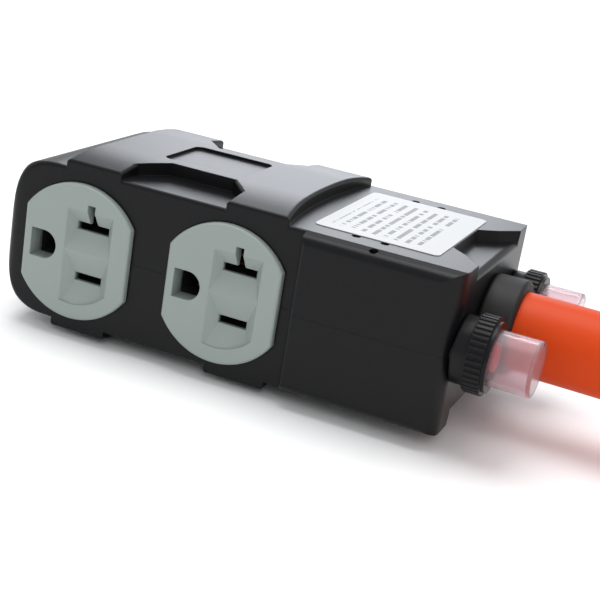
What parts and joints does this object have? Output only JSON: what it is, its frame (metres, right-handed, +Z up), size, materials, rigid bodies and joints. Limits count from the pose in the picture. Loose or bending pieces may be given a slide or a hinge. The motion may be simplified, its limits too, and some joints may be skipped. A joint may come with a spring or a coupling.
{
  "type": "in-line outlet box",
  "caption": "Hand-held box with four sideways T-slot outlets, two push-to-reset breakers with clear boots, and a short thick cord ending in a blade plug",
  "frame": {"origin": "centre of the box's footprint (cord left out), at the bottom of the lower raised panel", "axes": "+X along the box from the rounded nose to the cord end, -Y the front pair of outlets, +Z up"},
  "size_m": [0.6759, 0.1156, 0.045],
  "materials": {
    "bushing_rubber": "matt black moulded rubber",
    "clamp_nylon": "black nylon",
    "screw_steel": "zinc-plated steel",
    "breaker_black": "black phenolic",
    "nickel_blade": "plated tabs",
    "spring_steel": "bright spring wire",
    "boot_clear": "clear flexible vinyl",
    "outlet_grey": "pale grey-green moulded nylon",
    "brass": "plain brass strip",
    "nut_black": "black ribbed plastic",
    "lead_black": "black insulation",
    "base_grey": "grey moulded thermoset",
    "button_red": "red plastic",
    "collar_black": "black plastic",
    "lead_green": "green insulation",
    "cord_orange": "satin orange cord jacket",
    "shell_black": "black moulded nylon, fine satin grain",
    "lead_white": "white insulation",
    "plug_orange": "moulded orange plug, satin",
    "label_film": "off-white printed film, plain bars"
  },
  "bodies": {
    "box": {"cord_bushing": "bushing_rubber", "cord_clamp_bottom": "clamp_nylon", "cord_clamp_screws": "screw_steel", "cord_clamp_top": "clamp_nylon", "front_breaker_case": "breaker_black", "front_breaker_terminals": "nickel_blade", "front_button_spring": "spring_steel", "front_clear_boot": "boot_clear", "front_cord_outlet_face": "outlet_grey", "front_ground_contacts": "brass", "front_hot_contacts": "brass", "front_knurled_nut": "nut_black", "front_line_lead": "lead_black", "front_load_lead": "lead_black", "front_neutral_contacts": "brass", "front_nose_outlet_face": "outlet_grey", "front_receptacle_base": "base_grey", "front_sealing_collar": "collar_black", "ground_bridge": "brass", "ground_lead": "lead_green", "housing_screws": "screw_steel", "inner_cord_end": "cord_orange", "lower_shell": "shell_black", "neutral_jumper": "lead_white", "neutral_lead": "lead_white", "plug_body": "plug_orange", "plug_ground_pin": "brass", "plug_hot_blades": "nickel_blade", "plug_neutral_blade": "nickel_blade", "plug_screws": "screw_steel", "plug_strain_relief": "plug_orange", "rating_label": "label_film", "rear_breaker_case": "breaker_black", "rear_breaker_terminals": "nickel_blade", "rear_button_spring": "spring_steel", "rear_clear_boot": "boot_clear", "rear_cord_outlet_face": "outlet_grey", "rear_ground_contacts": "brass", "rear_hot_contacts": "brass", "rear_knurled_nut": "nut_black", "rear_line_lead": "lead_black", "rear_load_lead": "lead_black", "rear_neutral_contacts": "brass", "rear_nose_outlet_face": "outlet_grey", "rear_receptacle_base": "base_grey", "rear_sealing_collar": "collar_black", "supply_cord": "cord_orange", "upper_shell": "shell_black"},
    "front_button": {"front_reset_button": "button_red"},
    "rear_button": {"rear_reset_button": "button_red"}
  },
  "joints": [
    {"name": "front_reset", "type": "slide", "parent": "box", "child": "front_button", "axis": [1, 0, 0], "range_m": [-0.003, 0], "stiffness_N_per_m": 500, "springref_m": 0.004, "deforming": ["front_button_spring"]},
    {"name": "rear_reset", "type": "slide", "parent": "box", "child": "rear_button", "axis": [1, 0, 0], "range_m": [-0.003, 0], "stiffness_N_per_m": 500, "springref_m": 0.004, "deforming": ["rear_button_spring"]}
  ]
}
